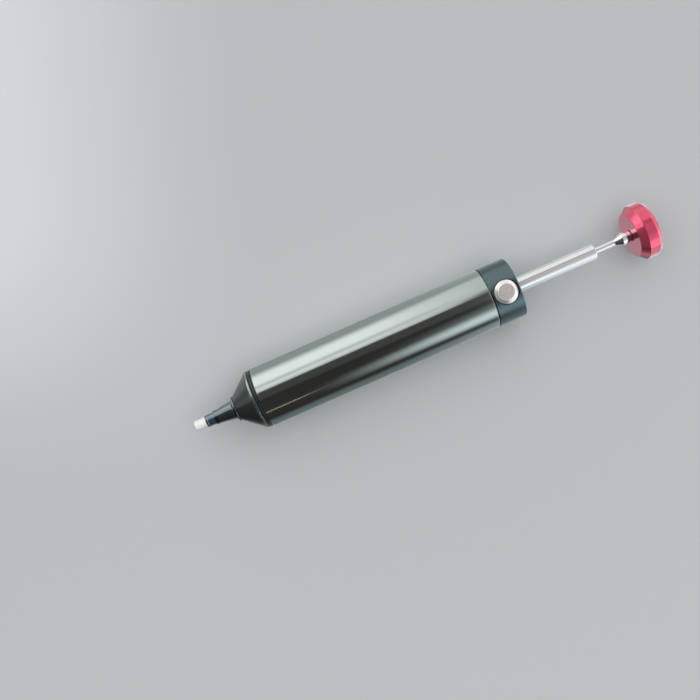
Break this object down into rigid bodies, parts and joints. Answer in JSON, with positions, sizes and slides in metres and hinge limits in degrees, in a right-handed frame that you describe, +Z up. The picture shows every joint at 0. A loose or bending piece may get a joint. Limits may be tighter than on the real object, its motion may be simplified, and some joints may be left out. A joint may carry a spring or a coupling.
{
  "type": "desoldering pump",
  "caption": "Slim metal desoldering pump with a soft suction tip, a stepped plunger rod, a push knob and a sprung release button in the rear cap.",
  "frame": {"origin": "under the middle of the pump's overall length with the plunger out, on the surface it lies on", "axes": "+X along the pump from the suction tip to the knob, +Z up through the release button, +Y across"},
  "size_m": [0.1948, 0.0242, 0.0242],
  "materials": {
    "grey_anodised_aluminium": "satin grey-green anodised",
    "slate_anodised_aluminium": "satin slate anodised",
    "dark_anodised_aluminium": "satin dark grey anodised",
    "red_anodised_aluminium": "bright red anodised",
    "blued_steel": "blue-grey turned steel",
    "polished_steel": "polished",
    "spring_steel": "drawn wire",
    "zinc_plated_steel": "zinc plated",
    "white_acetal": "turned",
    "black_rubber": "matt",
    "white_silicone": "matt, slightly translucent"
  },
  "bodies": {
    "housing": {"nozzle_tube": "white_silicone", "tip_ferrule": "blued_steel", "nozzle_neck": "dark_anodised_aluminium", "nozzle_cone": "dark_anodised_aluminium", "front_o_ring": "black_rubber", "front_collar": "slate_anodised_aluminium", "barrel": "grey_anodised_aluminium", "spring_seat": "zinc_plated_steel", "main_spring": "spring_steel", "rear_bumper": "black_rubber", "rear_cap": "slate_anodised_aluminium", "rod_bush": "polished_steel", "button_spring": "spring_steel"},
    "spring_follower": {"thrust_washer": "zinc_plated_steel"},
    "plunger": {"piston": "white_acetal", "piston_seal": "black_rubber", "piston_washer": "zinc_plated_steel", "piston_nut": "zinc_plated_steel", "plunger_rod": "polished_steel", "knob": "red_anodised_aluminium"},
    "button": {"release_button": "polished_steel"}
  },
  "joints": [
    {"name": "plunger_slide", "type": "slide", "parent": "housing", "child": "spring_follower", "axis": [-1, 0, 0], "range_m": [0, 0.045], "stiffness_N_per_m": 735, "springref_m": -0.004, "deforming": ["main_spring"]},
    {"name": "plunger_turn", "type": "hinge", "parent": "spring_follower", "child": "plunger", "pos_m": [0.012, 0, 0.0121], "axis": [1, 0, 0], "continuous": true},
    {"name": "button_press", "type": "slide", "parent": "housing", "child": "button", "axis": [0, 0, -1], "range_m": [0, 0.0018], "stiffness_N_per_m": 2100, "deforming": ["button_spring"]}
  ]
}
